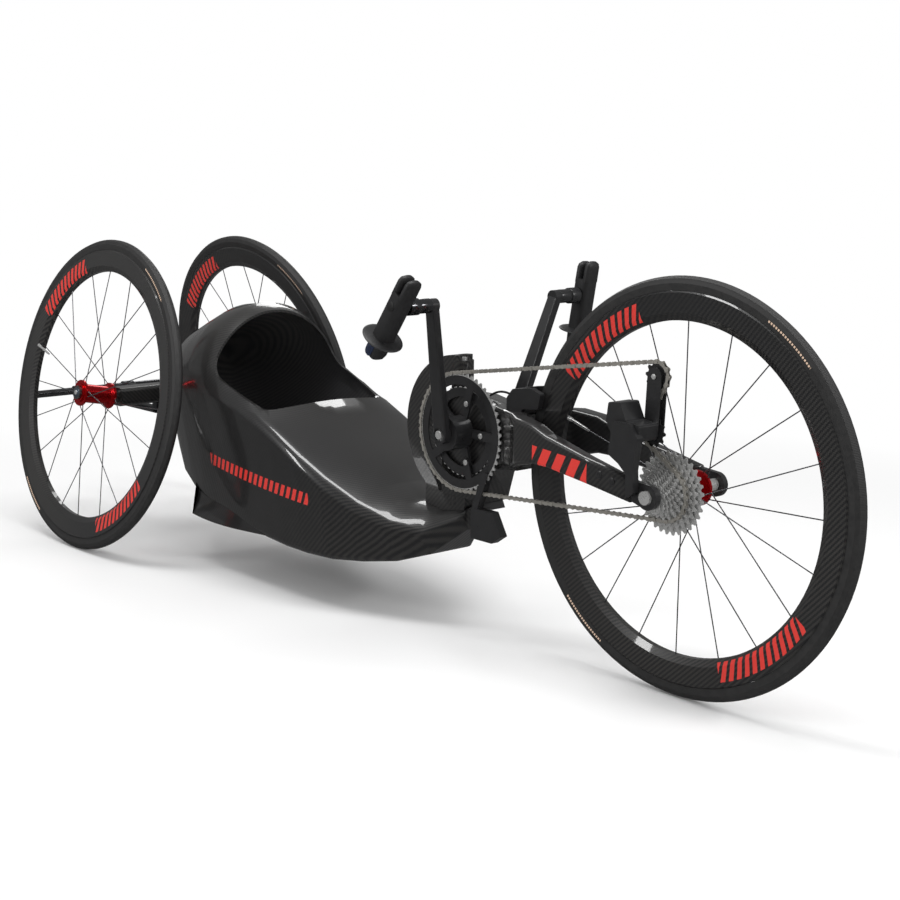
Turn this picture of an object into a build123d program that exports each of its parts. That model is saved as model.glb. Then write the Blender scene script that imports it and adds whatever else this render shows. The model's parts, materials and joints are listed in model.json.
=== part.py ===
from build123d import *
from math import asin, atan2, cos, hypot, pi, radians, sin
import os

os.makedirs("parts", exist_ok=True)

# Racing kneeling handcycle, millimetres. +X points forward, +Y to its left, +Z up.
# The origin is on the floor under the middle of the bounding box.

# Wheels
wheel_radius = 336.0
tyre_width = 23.0
rim_width = 25.0
rim_depth = 46.0
rim_wall = 2.2
spoke_radius = 1.0
spoke_count = 20
wheelbase = 1472.0
rear_track = 435.0
camber_deg = 10.4
guard_reach = 364.0
spoke_cross_share = 1.9
rim_lean_share = 12

# Clearances
running_gap = 0.1
seat_gap = 0.3
overrun = 20.0

# Places that follow from the wheels
tyre_half = tyre_width / 2
crown_circle = wheel_radius - tyre_half
camber = radians(camber_deg)
length = guard_reach + wheelbase + wheel_radius
rear_x = guard_reach - length / 2
front_x = rear_x + wheelbase
middle_x = front_x - wheelbase / 2
rear_z = crown_circle * cos(camber) + tyre_half
rim_inner = wheel_radius - tyre_width - rim_depth

# Hubs
rear_flange_radius = 28.0
rear_flange_offset = 34.0
rear_hub_radius = 20.0
flange_thickness = 5.0
front_flange_radius = 29.0
front_hub_radius = 16.0
front_flange_left = 34.0
front_flange_right = 20.0
hub_end = 4.0
hub_bore = 10.0
axle_radius = 6.0

# Drive
crank_back = 480.0
crank_rise = 31.0
crank_length = 237.0
crank_lean_deg = 10.3
crank_inner_y = 84.0
crank_outer_y = 146.0
arm_thickness = 15.0
arm_width_root = 34.0
arm_width_tip = 24.0
chain_y = -42.0
chain_pitch = 12.7
chain_height = 7.6
chain_width = 5.2
ring_teeth = 52
small_ring_teeth = 39
ring_thickness = 2.4
ring_step = 7.0
cog_teeth = (11, 12, 13, 14, 15, 17, 19, 21, 24, 28, 32)
chain_cog = 7
cog_step = 4.2
cog_thickness = 1.8
pulley_teeth = 11
spindle_radius = 12.0
freehub_radius = 17.0
tension_back = 24.0
tension_rise = 182.0
guide_back = 28.0
guide_rise = 94.0
bolt_count = 5
bolt_circle = 55.0
bolt_radius = 4.0
ring_band = 16.0
tab_radius = 8.0
spider_hub = 30.0
chain_cog_from_end = 4

# Steering and fork
steer_back = 521.0
steer_pin_radius = 8.0
bearing_radius = 20.0
yoke_half = 28.5
yoke_rise = 95.0
yoke_drop = 91.0
fork_half = 93.0
yoke_rear_reach = 22.0
yoke_front_gap = 11.0
blade_corner = 7.0
blade_end_back = 34.0
dropout_thickness = 10.0
dropout_half = 76.0
dropout_radius = 20.0
axle_length_over = 6.0
axle_cap_share = 1.8
pin_seat_share = 0.8
yoke_chin_share = 1.3

# Derailleurs, brake and hose
plate_thickness = 2.0
cage_half = 6.0
cage_rise = 60.0
cage_width = 14.0
cage_lean_share = 0.7
mech_height = 62.0
mech_length = 78.0
mech_nose_share = 0.75
mech_size = 100.0
mech_outer = 14.0
mech_corner = 4.0
caliper_size = 100.0
caliper_half = 29.0
caliper_slot = 18.0
caliper_corner = 3.0
hose_radius = 2.0
hose_bend = 60.0

# Neck
neck_half = 19.0
neck_rise = 162.0
neck_back_deg = 180
neck_end_deg = 233
neck_band = 34.0
neck_outer_radius = 137.0
neck_centre_rise = 27.0

# Tub
hull_tail_gap = 20.0
hull_nose_gap = 485.0
hull_bays = 15
hull_half_width = 172.0
hull_height = 455.0
floor_clearance = 85.0
hull_wall = 5.0
shoulder_radius = 24.0
keel_radius = 18.0
full_round_height_share = 0.2
full_round_width_share = 0.4
mouth_back_reach = 368.0
mouth_front_reach = 160.0
mouth_back_z = 414.0
mouth_front_z = 340.0
mouth_corner = 45.0

# Rear axle beam and guard
beam_depth = 50.0
beam_height = 40.0
beam_half = 166.0
beam_drop = 15.0
guard_radius = 8.5
guard_half = 205.0
guard_drop = 53.0
guard_arm_y = 66.0
guard_arm_radius = 9.0
guard_lug_radius = 12.0
guard_lug_half = 14.0

# Grips
grip_y = 221.0
grip_length = 172.0
grip_thickness = 34.0
grip_tilt_deg = 36.0
grip_low_share = 0.62
palm_radius = 37.0
palm_thickness = 6.0
pedal_pin_radius = 8.0

# Places that follow from the wheels and the sizes above
hull_length = wheelbase - hull_tail_gap - hull_nose_gap
hull_tail_reach = wheelbase / 2 - hull_tail_gap
crank_height = wheel_radius + crank_rise
yoke_top_z = wheel_radius + yoke_rise
yoke_low_z = wheel_radius - yoke_drop
neck_top_z = wheel_radius + neck_rise
neck_centre_z = wheel_radius + neck_centre_rise
beam_z = wheel_radius - beam_drop
guard_z = wheel_radius - guard_drop
crank_x = front_x - crank_back
steer_x = front_x - steer_back
rear_wheel_y = rear_track / 2


def save(part, name):
    part.label = name
    export_step(part, "parts/" + name + ".step")


def axle_frame(centre, axle):
    """Plane with X radial, Y along the axle, for profiles that are revolved about it."""
    return Plane(origin=centre, x_dir=(1, 0, 0), z_dir=(0, -axle.Z, axle.Y))


def side_at(x, y, z):
    """Plane facing the right side, with its origin at the given point."""
    return Plane(origin=(x, y, z), x_dir=(1, 0, 0), z_dir=(0, -1, 0))


# Tyres

def make_tyre(centre, axle, angles):
    """Tyre whose round outside has a corner at each of the given angles from its crown."""
    frame = axle_frame(centre, axle)
    outer = [(crown_circle + tyre_half * cos(radians(a)), tyre_half * sin(radians(a))) for a in angles]
    bead = (crown_circle - tyre_half, rim_width / 2 - rim_wall)
    with BuildPart() as tyre:
        with BuildSketch(frame):
            with BuildLine():
                Polyline(*outer, bead, (bead[0], -bead[1]), close=True)
            make_face()
        revolve(axis=Axis(centre, axle))
    return tyre.part


# Rims

def make_rim(centre, axle):
    frame = axle_frame(centre, axle)
    top = wheel_radius - tyre_width - seat_gap
    half = rim_width / 2
    nose = rim_width / 5
    belly = rim_inner + rim_depth / 4
    with BuildPart() as rim:
        with BuildSketch(frame):
            with BuildLine():
                Polyline(
                    (top, -half + rim_wall), (top, half - rim_wall), (top - rim_wall, half),
                    (belly, half - rim_wall), (rim_inner, nose), (rim_inner, -nose),
                    (belly, -half + rim_wall), (top - rim_wall, -half), close=True,
                )
            make_face()
        revolve(axis=Axis(centre, axle))
    return rim.part


# Hubs with their spokes

def spoke_ends(k, side, flange_radius, offset, centre, axle):
    """Ends of one spoke: hub flange and rim, laced tangentially in crossing pairs."""
    step = 360 / spoke_count
    rim_angle = radians(step * k)
    lean = radians(step * spoke_cross_share) * (1 if (k // 2) % 2 else -1)
    hub_angle = rim_angle + lean
    radial = Vector(1, 0, 0)
    other = axle.cross(radial)
    hub_r = flange_radius - flange_thickness / 2
    rim_r = rim_inner - seat_gap
    start = centre + (radial * cos(hub_angle) + other * sin(hub_angle)) * hub_r + axle * offset
    end = centre + (radial * cos(rim_angle) + other * sin(rim_angle)) * rim_r
    return start, end + axle * (side * rim_width / rim_lean_share)


def make_hub(centre, axle, flange_radius, shell_radius, far, near, bore):
    """Hub with two flanges at the given offsets along the axle, and the spokes it carries."""
    frame = axle_frame(centre, axle)
    half = flange_thickness / 2
    with BuildPart() as hub:
        with BuildSketch(frame):
            with BuildLine():
                Polyline(
                    (bore, -near - half - hub_end), (shell_radius, -near - half - hub_end),
                    (shell_radius, -near - half), (flange_radius, -near - half),
                    (flange_radius, -near + half), (shell_radius, -near + half + hub_end),
                    (shell_radius, far - half - hub_end), (flange_radius, far - half),
                    (flange_radius, far + half), (shell_radius, far + half),
                    (shell_radius, far + half + hub_end), (bore, far + half + hub_end), close=True,
                )
            make_face()
        revolve(axis=Axis(centre, axle))
        for k in range(spoke_count):
            side = 1 if k % 2 else -1
            offset = far if side > 0 else -near
            start, end = spoke_ends(k, side, flange_radius, offset, centre, axle)
            run = end - start
            with BuildSketch(Plane(origin=start, z_dir=run)):
                Circle(spoke_radius)
            extrude(amount=run.length)
    return hub.part


wheels = {
    "front": (Vector(front_x, 0, wheel_radius), Vector(0, -1, 0)),
    "rear_right": (Vector(rear_x, -rear_wheel_y, rear_z), Vector(0, -cos(camber), sin(camber))),
    "rear_left": (Vector(rear_x, rear_wheel_y, rear_z), Vector(0, cos(camber), sin(camber))),
}

for name, (centre, axle) in wheels.items():
    crown = (0,) if name == "front" else (-camber_deg, camber_deg)
    save(make_tyre(centre, axle, (-90, -50, *crown, 50, 90)), name + "_tyre")
    save(make_rim(centre, axle), name + "_rim")
    if name == "front":
        hub = make_hub(centre, axle, front_flange_radius, front_hub_radius,
                       front_flange_right, front_flange_left, axle_radius + running_gap)
    else:
        hub = make_hub(centre, axle, rear_flange_radius, rear_hub_radius,
                       rear_flange_offset, rear_flange_offset, hub_bore)
    save(hub, name + "_hub")


# Cassette

def pitch_radius(teeth):
    return chain_pitch / 2 / sin(pi / teeth)


tooth_drop = chain_height / 2 + 2 * seat_gap
cassette_outer_y = chain_y - chain_cog * cog_step
cassette_inner_y = chain_y + (len(cog_teeth) - 1 - chain_cog) * cog_step
body_start = -front_flange_right - flange_thickness / 2 - hub_end - seat_gap
with BuildPart() as cassette:
    for i, teeth in enumerate(cog_teeth):
        y = cassette_outer_y + i * cog_step
        with BuildSketch(side_at(front_x, y + cog_thickness / 2, wheel_radius)):
            Circle(pitch_radius(teeth) - tooth_drop)
        extrude(amount=cog_thickness)
    with BuildSketch(side_at(front_x, body_start, wheel_radius)):
        Circle(freehub_radius)
    extrude(amount=body_start - cassette_outer_y + cog_step / 2)
    with BuildSketch(side_at(front_x, body_start + overrun, wheel_radius)):
        Circle(axle_radius + running_gap)
    extrude(amount=body_start - cassette_outer_y + 2 * overrun, mode=Mode.SUBTRACT)
save(cassette.part, "cassette")


# Tub: sections across the hull from tail to nose, then the hollow and the mouth.
# Columns: station, bottom half width, shoulder half width, bottom, shoulder and crown heights.
hull_shares = [
    (0.000, 0.10, 0.18, 0.36, 0.56, 0.64),
    (0.070, 0.34, 0.52, 0.24, 0.56, 0.79),
    (0.170, 0.56, 0.78, 0.14, 0.61, 0.91),
    (0.350, 0.76, 0.94, 0.08, 0.62, 1.00),
    (0.560, 0.86, 1.00, 0.03, 0.55, 0.62),
    (0.725, 0.80, 0.93, 0.02, 0.375, 0.43),
    (0.830, 0.58, 0.72, 0.04, 0.25, 0.315),
    (0.925, 0.32, 0.44, 0.09, 0.19, 0.275),
    (1.000, 0.10, 0.17, 0.22, 0.265, 0.31),
]
hull_tail_x = middle_x - hull_tail_reach
mouth_back_x = middle_x - mouth_back_reach
mouth_front_x = middle_x - mouth_front_reach


def hull_outline(station, low, high, z_low, z_high, z_crown, inset):
    """One closed cross-section of the hull, drawn inward by the inset."""
    origin = (hull_tail_x + station * hull_length, 0, floor_clearance)
    plane = Plane(origin=origin, x_dir=(0, 1, 0), z_dir=(1, 0, 0))
    half_low = low * hull_half_width
    half_high = high * hull_half_width
    z_low, z_high, z_crown = (z * hull_height for z in (z_low, z_high, z_crown))
    round_share = min(1, (z_high - z_low) / hull_height / full_round_height_share,
                      half_low / hull_half_width / full_round_width_share)
    with BuildSketch(plane) as outline:
        with BuildLine():
            Line((-half_low, z_low), (half_low, z_low))
            Line((half_low, z_low), (half_high, z_high))
            ThreePointArc((half_high, z_high), (0, z_crown), (-half_high, z_high))
            Line((-half_high, z_high), (-half_low, z_low))
        make_face()
        corners = outline.vertices().group_by(Axis.Y)
        fillet(corners[0], keel_radius * round_share)
        fillet(outline.vertices().group_by(Axis.Y)[-1], shoulder_radius * round_share)
        if inset:
            offset(amount=-inset)
    return outline.sketch


def hull_row(station):
    """A row of the table at any station, by a smooth curve through its columns."""
    last = len(hull_shares) - 2
    index = max(i for i in range(last + 1) if hull_shares[i][0] <= station or i == 0)
    first, second = hull_shares[index], hull_shares[index + 1]
    gap = second[0] - first[0]
    t = (station - first[0]) / gap

    def slope(i, column):
        before, after = hull_shares[max(i - 1, 0)], hull_shares[min(i + 1, last + 1)]
        return (after[column] - before[column]) / (after[0] - before[0])

    row = [station]
    for column in range(1, len(first)):
        row.append((2 * t**3 - 3 * t**2 + 1) * first[column] + (3 * t**2 - 2 * t**3) * second[column]
                   + (t**3 - 2 * t**2 + t) * gap * slope(index, column)
                   + (t**3 - t**2) * gap * slope(index + 1, column))
    return row


def hull_loft(inset):
    rows = [hull_row(i / hull_bays) for i in range(hull_bays + 1)]
    if inset > 0:
        rows[0][0] += inset / hull_length
        rows[-1][0] -= inset / hull_length
    sections = [hull_outline(*row, inset).face() for row in rows]
    return Solid.make_loft([section.outer_wire() for section in sections], ruled=True)


hull_outer = hull_loft(0)
hull_inner = hull_loft(hull_wall)
hull_shadow = hull_loft(-seat_gap)
with BuildPart() as tub:
    add(hull_outer)
    add(hull_inner, mode=Mode.SUBTRACT)
    with BuildSketch(Plane.XZ.offset(-hull_half_width - overrun)):
        with BuildLine():
            FilletPolyline(
                (mouth_back_x, floor_clearance + 2 * hull_height), (mouth_back_x, mouth_back_z),
                (mouth_front_x, mouth_front_z),
                (mouth_front_x + mouth_corner, floor_clearance + 2 * hull_height),
                radius=mouth_corner,
            )
            Line((mouth_front_x + mouth_corner, floor_clearance + 2 * hull_height),
                 (mouth_back_x, floor_clearance + 2 * hull_height))
        make_face()
    extrude(amount=2 * (hull_half_width + overrun), mode=Mode.SUBTRACT)
save(tub.part, "tub_shell")


# Neck: a C open to the front that carries the fork at its two ends

def side_plane(half):
    """XZ plane at the given half width on the left, so that an extrusion runs to the right."""
    return Plane.XZ.offset(-half)


def point_on(centre_x, centre_z, radius, angle_deg):
    return (centre_x + radius * cos(radians(angle_deg)), centre_z + radius * sin(radians(angle_deg)))


neck_x = steer_x + hull_wall
inner_radius = neck_outer_radius - neck_band
foot_top_z = yoke_low_z - 2 * seat_gap
tip_top = (neck_x, neck_top_z)
foot_front = steer_x + bearing_radius + 2 * hull_wall
foot_low_z = foot_top_z - 2 * bearing_radius
foot_rear = steer_x - hypot(yoke_rear_reach, yoke_half) - hull_wall
with BuildPart() as neck:
    with BuildSketch(side_plane(neck_half)):
        with BuildLine():
            outer = ThreePointArc(tip_top, point_on(neck_x, neck_centre_z, neck_outer_radius, neck_back_deg),
                                  point_on(neck_x, neck_centre_z, neck_outer_radius, neck_end_deg))
            inner = ThreePointArc((neck_x, neck_top_z - neck_band),
                                  point_on(neck_x, neck_centre_z, inner_radius, neck_back_deg),
                                  point_on(neck_x, neck_centre_z, inner_radius, neck_end_deg))
            Polyline(outer @ 1, ((outer @ 1).X, foot_low_z), (foot_front, foot_low_z),
                     (foot_front, foot_top_z), (foot_rear, foot_top_z), inner @ 1)
            Line(inner @ 0, outer @ 0)
        make_face()
    extrude(amount=2 * neck_half)
    with BuildSketch(Plane.XY.offset(yoke_top_z + 2 * seat_gap)):
        with Locations((steer_x, 0)):
            Circle(bearing_radius)
    extrude(amount=neck_top_z - yoke_top_z - 2 * hull_wall)
    with BuildSketch(Plane.XY.offset(foot_top_z)):
        with Locations((steer_x, 0)):
            Circle(bearing_radius)
    extrude(amount=-bearing_radius)
    with BuildSketch(Plane.XY.offset(yoke_top_z - overrun)):
        with Locations((steer_x, 0)):
            Circle(steer_pin_radius)
    extrude(amount=neck_top_z, mode=Mode.SUBTRACT)
    with BuildSketch(Plane.XY.offset(foot_top_z - pin_seat_share * bearing_radius)):
        with Locations((steer_x, 0)):
            Circle(steer_pin_radius)
    extrude(amount=2 * bearing_radius, mode=Mode.SUBTRACT)
    add(hull_shadow, mode=Mode.SUBTRACT)
neck_solid = neck.part.solids().sort_by(SortBy.VOLUME)[-1]
save(neck_solid, "neck")

# Steering pins, held by the neck and turning in the yoke
pin_spans = {
    "steer_pin_upper": (yoke_top_z - 2 * bearing_radius, neck_top_z - hull_wall),
    "steer_pin_lower": (foot_top_z - pin_seat_share * bearing_radius, yoke_low_z + bearing_radius),
}
for name, (low, high) in pin_spans.items():
    with BuildPart() as pin:
        with BuildSketch(Plane.XY.offset(low)):
            with Locations((steer_x, 0)):
                Circle(steer_pin_radius - running_gap)
        extrude(amount=high - low)
    save(pin.part, name)

# Rear axle beam, with its axles through the hubs
knuckle_radius = beam_height / 2 - hull_wall
axle_bearing = hub_bore - running_gap
with BuildPart() as beam:
    with BuildSketch(side_plane(beam_half)):
        with Locations((rear_x, beam_z)):
            RectangleRounded(beam_depth, beam_height, beam_height / 4)
    extrude(amount=2 * beam_half)
    add(hull_shadow, mode=Mode.SUBTRACT)
    for name in ("rear_right", "rear_left"):
        centre, axle = wheels[name]
        hub_face = rear_flange_offset + flange_thickness / 2 + hub_end + seat_gap
        with BuildSketch(Plane(origin=centre - axle * hub_face, z_dir=-axle)):
            Circle(knuckle_radius)
        extrude(amount=knuckle_radius)
        with BuildSketch(Plane(origin=centre - axle * hub_face, z_dir=axle)):
            Circle(axle_bearing)
        extrude(amount=2 * hub_face)
        with BuildSketch(Plane(origin=centre + axle * hub_face, z_dir=axle)):
            Circle(knuckle_radius)
        extrude(amount=hub_end)
save(beam.part, "axle_beam")

# Rear guard bar on two arms that come from under the tail
with BuildPart() as guard:
    guard_x = rear_x - guard_reach + guard_radius
    with BuildSketch(side_plane(guard_half)):
        with Locations((guard_x, guard_z)):
            Circle(guard_radius)
    extrude(amount=2 * guard_half)
    for y in (-guard_arm_y, guard_arm_y):
        with BuildSketch(side_plane(y + guard_lug_half)):
            with Locations((guard_x, guard_z)):
                Circle(guard_lug_radius)
        extrude(amount=2 * guard_lug_half)
        with BuildSketch(Plane(origin=(guard_x, y, guard_z), z_dir=(1, 0, 0))):
            Circle(guard_arm_radius)
        extrude(amount=rear_x - guard_x)
        with BuildSketch(Plane(origin=(rear_x, y, guard_z), z_dir=(0, 0, 1))):
            Circle(guard_arm_radius)
        extrude(amount=beam_z - beam_height / 2 - guard_z)
    add(hull_shadow, mode=Mode.SUBTRACT)
save(guard.part, "guard_bar")

# Fork: a yoke between the ends of the neck and two blades beside the wheel.
# Columns: station from the yoke's front to the blade's end, inner and outer y as shares of the
# fork's half width, lower and upper z as shares of the height from the axle to the yoke's top.
blade_shares = [
    (-0.14, 0.00, 0.30, -0.15, 0.86),
    (0.04, 0.20, 0.62, -0.12, 0.90),
    (0.17, 0.55, 0.95, 0.04, 0.90),
    (0.32, 0.66, 1.00, 0.16, 0.84),
    (0.42, 0.69, 1.00, 0.15, 0.71),
    (0.70, 0.75, 0.99, 0.02, 0.49),
    (1.00, 0.80, 0.98, -0.14, 0.28),
]
yoke_front = front_x - wheel_radius - yoke_front_gap
yoke_rear = steer_x - yoke_rear_reach
blade_end = front_x - blade_end_back
blade_run = blade_end - yoke_front
blade_rise = yoke_top_z - wheel_radius
lower_front = crank_x + ring_teeth
with BuildPart() as fork:
    with BuildSketch(side_plane(yoke_half)):
        with BuildLine():
            Polyline(
                (yoke_rear, yoke_top_z), (crank_x + bearing_radius, yoke_top_z),
                (yoke_front, yoke_top_z - overrun),
                (yoke_front, wheel_radius - overrun),
                (lower_front + overrun, wheel_radius - yoke_chin_share * overrun),
                (lower_front, yoke_low_z), (yoke_rear, yoke_low_z), close=True,
            )
        make_face()
    extrude(amount=2 * yoke_half)
    for side in (-1, 1):
        for station, inner, outer_share, low, high in blade_shares:
            origin = (yoke_front + station * blade_run, 0, wheel_radius)
            plane = Plane(origin=origin, x_dir=(0, 1, 0), z_dir=(1, 0, 0))
            width = (outer_share - inner) * fork_half
            height = (high - low) * blade_rise
            with BuildSketch(plane):
                with Locations((side * (inner + outer_share) / 2 * fork_half, (low + high) / 2 * blade_rise)):
                    RectangleRounded(width, height, blade_corner)
        loft(ruled=True)
    with BuildSketch(Plane.XY.offset(yoke_low_z - overrun)):
        with Locations((steer_x, 0)):
            Circle(steer_pin_radius)
    extrude(amount=3 * overrun, mode=Mode.SUBTRACT)
    with BuildSketch(Plane.XY.offset(yoke_top_z + overrun)):
        with Locations((steer_x, 0)):
            Circle(steer_pin_radius)
    extrude(amount=-4 * overrun, mode=Mode.SUBTRACT)
    with BuildSketch(side_plane(fork_half)):
        with Locations((crank_x, crank_height)):
            Circle(spindle_radius + running_gap)
    extrude(amount=2 * fork_half, mode=Mode.SUBTRACT)
save(fork.part, "fork")

# Dropouts and the front axle
axle_end = dropout_half + dropout_thickness + axle_length_over
for side, name in ((-1, "right"), (1, "left")):
    outer_y = side * dropout_half if side > 0 else side * (dropout_half + dropout_thickness)
    with BuildPart() as dropout:
        with BuildSketch(side_plane(outer_y + dropout_thickness)):
            with BuildLine():
                z_low = wheel_radius + blade_shares[-1][3] * blade_rise + blade_corner / 2
                z_high = wheel_radius + blade_shares[-1][4] * blade_rise - blade_corner / 2
                Polyline((blade_end + seat_gap, z_low), (front_x, wheel_radius - dropout_radius),
                         (front_x, wheel_radius + dropout_radius), (blade_end + seat_gap, z_high), close=True)
            make_face()
            with Locations((front_x, wheel_radius)):
                Circle(dropout_radius)
                Circle(axle_radius + running_gap, mode=Mode.SUBTRACT)
        extrude(amount=dropout_thickness)
    save(dropout.part, "dropout_" + name)

with BuildPart() as front_axle:
    with BuildSketch(side_plane(axle_end)):
        with Locations((front_x, wheel_radius)):
            Circle(axle_radius)
    extrude(amount=2 * axle_end)
    left_start = front_flange_left + flange_thickness / 2 + hub_end + seat_gap
    with BuildSketch(side_plane(dropout_half - seat_gap)):
        with Locations((front_x, wheel_radius)):
            Circle(hub_bore)
    extrude(amount=dropout_half - seat_gap - left_start)
    for side in (-1, 1):
        with BuildSketch(Plane.XZ.offset(-side * (dropout_half + dropout_thickness + seat_gap))):
            with Locations((front_x, wheel_radius)):
                Circle(axle_radius * axle_cap_share)
        extrude(amount=-side * axle_length_over)
save(front_axle.part, "front_axle")

# Chain: one closed loop round the ring, both pulleys and a cog.
# A turn of -1 is clockwise and of 1 anticlockwise, seen from the right.
jockey_radius = pitch_radius(pulley_teeth)
tension_x = front_x - tension_back
tension_z = wheel_radius + tension_rise
guide_x = front_x - guide_back
guide_z = wheel_radius + guide_rise
chain_stops = [
    (crank_x, crank_height, pitch_radius(ring_teeth), -1),
    (tension_x, tension_z, jockey_radius, -1),
    (guide_x, guide_z, jockey_radius, 1),
    (front_x, wheel_radius, pitch_radius(cog_teeth[-chain_cog_from_end]), -1),
]


def travel_angle(a, b, outward):
    """Direction of the straight run from wheel a to wheel b, with the loop grown outward."""
    radius_a = a[2] - a[3] * outward
    radius_b = b[2] - b[3] * outward
    dx = b[0] - a[0]
    dz = b[1] - a[1]
    span = (b[3] * radius_b - a[3] * radius_a) / hypot(dx, dz)
    return atan2(dz, dx) - asin(span)


def chain_outline(outward):
    count = len(chain_stops)
    runs = [travel_angle(chain_stops[i], chain_stops[(i + 1) % count], outward) for i in range(count)]
    for i, (x, z, radius, turn) in enumerate(chain_stops):
        arrive = runs[i - 1]
        leave = runs[i]
        wrap = ((leave - arrive) * turn) % (2 * pi)
        reach = (radius - turn * outward) * turn
        start, middle, end = [
            Vector(x + reach * sin(a), z - reach * cos(a))
            for a in (arrive, arrive + turn * wrap / 2, leave)
        ]
        ThreePointArc(start, middle, end)
        following = chain_stops[(i + 1) % count]
        reach_next = (following[2] - following[3] * outward) * following[3]
        Line(end, (following[0] + reach_next * sin(leave), following[1] - reach_next * cos(leave)))


with BuildPart() as chain:
    with BuildSketch(Plane.XZ.offset(-chain_y - chain_width / 2)):
        with BuildLine():
            chain_outline(chain_height / 2)
        make_face()
        with BuildLine():
            chain_outline(-chain_height / 2)
        make_face(mode=Mode.SUBTRACT)
    extrude(amount=chain_width)
save(chain.part, "chain")

# Crank set: two rings bolted to a spider, a spindle through the yoke and two arms in phase

rings = {
    "chainring_big": (chain_y, pitch_radius(ring_teeth) - tooth_drop),
    "chainring_small": (chain_y + ring_step, pitch_radius(small_ring_teeth)),
}
for name, (y, radius) in rings.items():
    tab_length = radius - ring_band / 2 - bolt_circle
    with BuildPart() as ring:
        with BuildSketch(side_at(crank_x, y + ring_thickness / 2, crank_height)):
            Circle(radius)
            Circle(radius - ring_band, mode=Mode.SUBTRACT)
            with PolarLocations(bolt_circle, bolt_count):
                Circle(tab_radius)
            with PolarLocations(bolt_circle + tab_length / 2, bolt_count):
                Rectangle(tab_length, 2 * tab_radius)
            with PolarLocations(bolt_circle, bolt_count):
                Circle(bolt_radius, mode=Mode.SUBTRACT)
        extrude(amount=ring_thickness)
    save(ring.part, name)

spider_thickness = ring_step - ring_thickness
spider_y = chain_y + ring_thickness / 2 + spider_thickness
arm_inner_y = crank_inner_y - arm_thickness / 2
with BuildPart() as spider:
    with BuildSketch(side_at(crank_x, spider_y, crank_height)):
        Circle(spider_hub)
        with PolarLocations(bolt_circle / 2, bolt_count):
            Rectangle(bolt_circle, 2 * tab_radius)
        with PolarLocations(bolt_circle, bolt_count):
            Circle(tab_radius)
    extrude(amount=spider_thickness)
    with BuildSketch(side_at(crank_x, spider_y - spider_thickness, crank_height)):
        Circle(spider_hub)
    extrude(amount=arm_inner_y + spider_y - spider_thickness - seat_gap)
    with BuildSketch(side_at(crank_x, spider_y, crank_height)):
        with PolarLocations(bolt_circle, bolt_count):
            Circle(bolt_radius - running_gap)
    extrude(amount=spider_thickness + ring_thickness)
    with BuildSketch(side_at(crank_x, spider_y, crank_height)):
        with PolarLocations(bolt_circle, bolt_count):
            Circle(bolt_radius - running_gap)
    extrude(amount=-ring_thickness)
    with BuildSketch(side_at(crank_x, fork_half, crank_height)):
        Circle(spindle_radius)
    extrude(amount=2 * fork_half, mode=Mode.SUBTRACT)
save(spider.part, "spider")

with BuildPart() as spindle:
    with BuildSketch(side_at(crank_x, crank_inner_y, crank_height)):
        Circle(spindle_radius)
    extrude(amount=2 * crank_inner_y)
save(spindle.part, "crank_spindle")

pivot_x = crank_x + crank_length * sin(radians(crank_lean_deg))
pivot_z = crank_height + crank_length * cos(radians(crank_lean_deg))
pedal_pin_end = grip_y + grip_thickness / 4
for side, name in ((-1, "right"), (1, "left")):
    root = Vector(crank_x, side * crank_inner_y, crank_height)
    tip = Vector(pivot_x, side * crank_outer_y, pivot_z)
    run = tip - root
    with BuildPart() as arm:
        for base, width in ((root, arm_width_root), (tip, arm_width_tip)):
            with BuildSketch(Plane(origin=base, x_dir=(0, 1, 0), z_dir=(run.X, 0, run.Z))):
                RectangleRounded(arm_thickness, width, arm_thickness / 4)
        loft(ruled=True)
        with BuildSketch(side_at(root.X, root.Y + arm_thickness / 2, root.Z)):
            Circle(arm_width_root / 2)
        extrude(amount=arm_thickness)
        with BuildSketch(side_at(tip.X, tip.Y + arm_thickness / 2, tip.Z)):
            Circle(arm_width_tip / 2)
        extrude(amount=arm_thickness)
        with BuildSketch(side_at(tip.X, tip.Y, tip.Z)):
            Circle(pedal_pin_radius)
        extrude(amount=-side * (pedal_pin_end - crank_outer_y))
        with BuildSketch(side_at(root.X, fork_half * 2, root.Z)):
            Circle(spindle_radius + running_gap)
        extrude(amount=4 * fork_half, mode=Mode.SUBTRACT)
    save(arm.part, "crank_arm_" + name)

# Grips, each turning on its arm's pin
grip_low = grip_low_share * grip_length
grip_high = grip_length - grip_low
slot_depth = grip_length / 5
for side, name in ((-1, "right"), (1, "left")):
    tilt = radians(grip_tilt_deg if side < 0 else crank_lean_deg)
    along = Vector(sin(tilt), 0, cos(tilt))
    pivot = Vector(pivot_x, side * grip_y, pivot_z)
    foot = pivot - along * grip_low
    with BuildPart() as grip:
        with BuildSketch(Plane(origin=foot, x_dir=(0, 1, 0), z_dir=along)):
            RectangleRounded(grip_thickness, grip_thickness, grip_thickness / 3)
        extrude(amount=grip_length)
        with BuildSketch(Plane(origin=foot + along * grip_length, x_dir=(0, 1, 0), z_dir=along)):
            Rectangle(grip_thickness / 3, 2 * grip_thickness)
        extrude(amount=-slot_depth, mode=Mode.SUBTRACT)
        with BuildSketch(side_at(pivot.X, side * grip_y + grip_thickness, pivot.Z)):
            Circle(pedal_pin_radius + running_gap)
        extrude(amount=2 * grip_thickness, mode=Mode.SUBTRACT)
        with BuildSketch(Plane(origin=foot + along * palm_radius, x_dir=(0, 1, 0), z_dir=along)):
            Circle(palm_radius)
        extrude(amount=palm_thickness)
    save(grip.part, "grip_" + name)

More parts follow.
